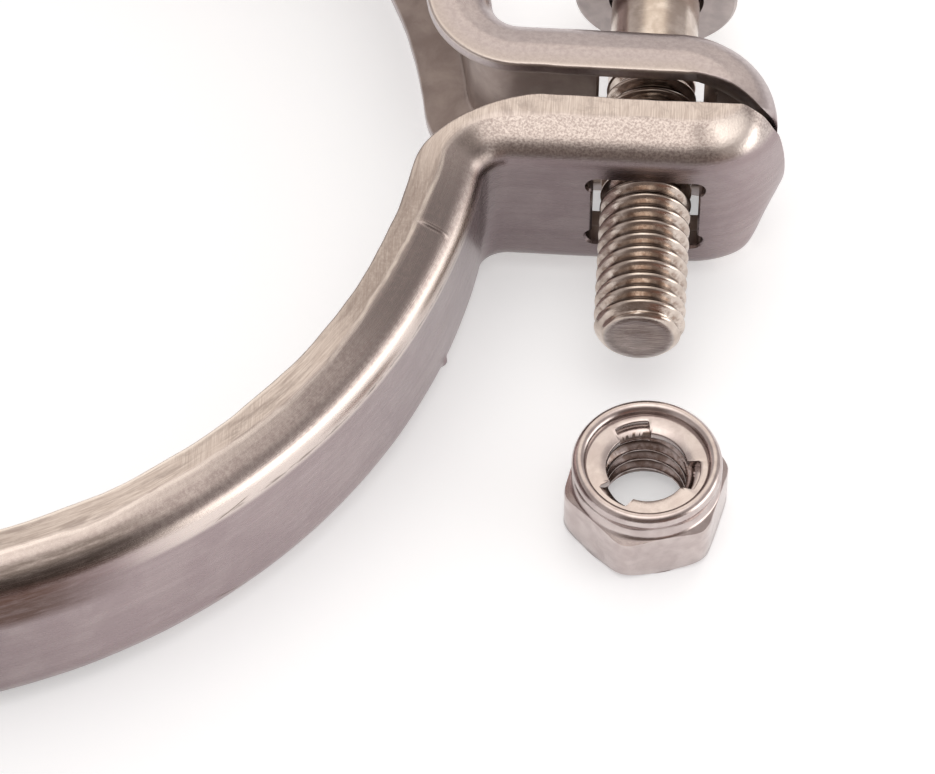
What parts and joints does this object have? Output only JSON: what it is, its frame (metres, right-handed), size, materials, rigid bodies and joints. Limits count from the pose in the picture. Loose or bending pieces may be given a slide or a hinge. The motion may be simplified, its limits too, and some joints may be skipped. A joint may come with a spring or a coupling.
{
  "type": "v-band exhaust clamp",
  "caption": "Two-part stamped stainless V-band clamp, hinged at the back and closed by a hex bolt through its lugs, with the locknut taken off.",
  "frame": {"origin": "centre of the ring's bore, on the middle plane of the band", "axes": "+Z along the ring's axis, +X from the ring's centre to the lugs, +Y across the split towards the bolt's head"},
  "size_m": [0.1508, 0.1186, 0.0182],
  "materials": {
    "stainless_sheet": "satin, with coarse grinding marks on the rims",
    "bolt_steel": "bright",
    "washer_steel": "dull",
    "nut_steel": "bright satin",
    "ring_steel": "satin"
  },
  "bodies": {
    "near_half": {"near_half_band": "stainless_sheet", "hinge_pin": "bolt_steel"},
    "far_half": {"far_half_band": "stainless_sheet"},
    "washer": {"bolt_washer": "washer_steel"},
    "bolt": {"bolt": "bolt_steel"},
    "nut": {"nut_body": "nut_steel", "nut_lock_ring": "ring_steel"}
  },
  "joints": [
    {"name": "hinge_open", "type": "hinge", "parent": "near_half", "child": "far_half", "pos_m": [-0.06175, 0, 0], "axis": [0, 0, 1], "range_deg": [0, 42]},
    {"name": "bolt_draw", "type": "slide", "parent": "far_half", "child": "washer", "axis": [0, 1, 0], "range_m": [0, 0.105]},
    {"name": "bolt_spin", "type": "hinge", "parent": "washer", "child": "bolt", "pos_m": [0.0727, 0, 0], "axis": [0, 1, 0], "continuous": true},
    {"name": "nut_lift", "type": "slide", "parent": "near_half", "child": "nut", "axis": [0, 0, 1], "range_m": [0, 0.03]}
  ],
  "couplings": [
    {"joint": "bolt_draw", "follows": "hinge_open", "m_per_rad": 0.14324}
  ]
}
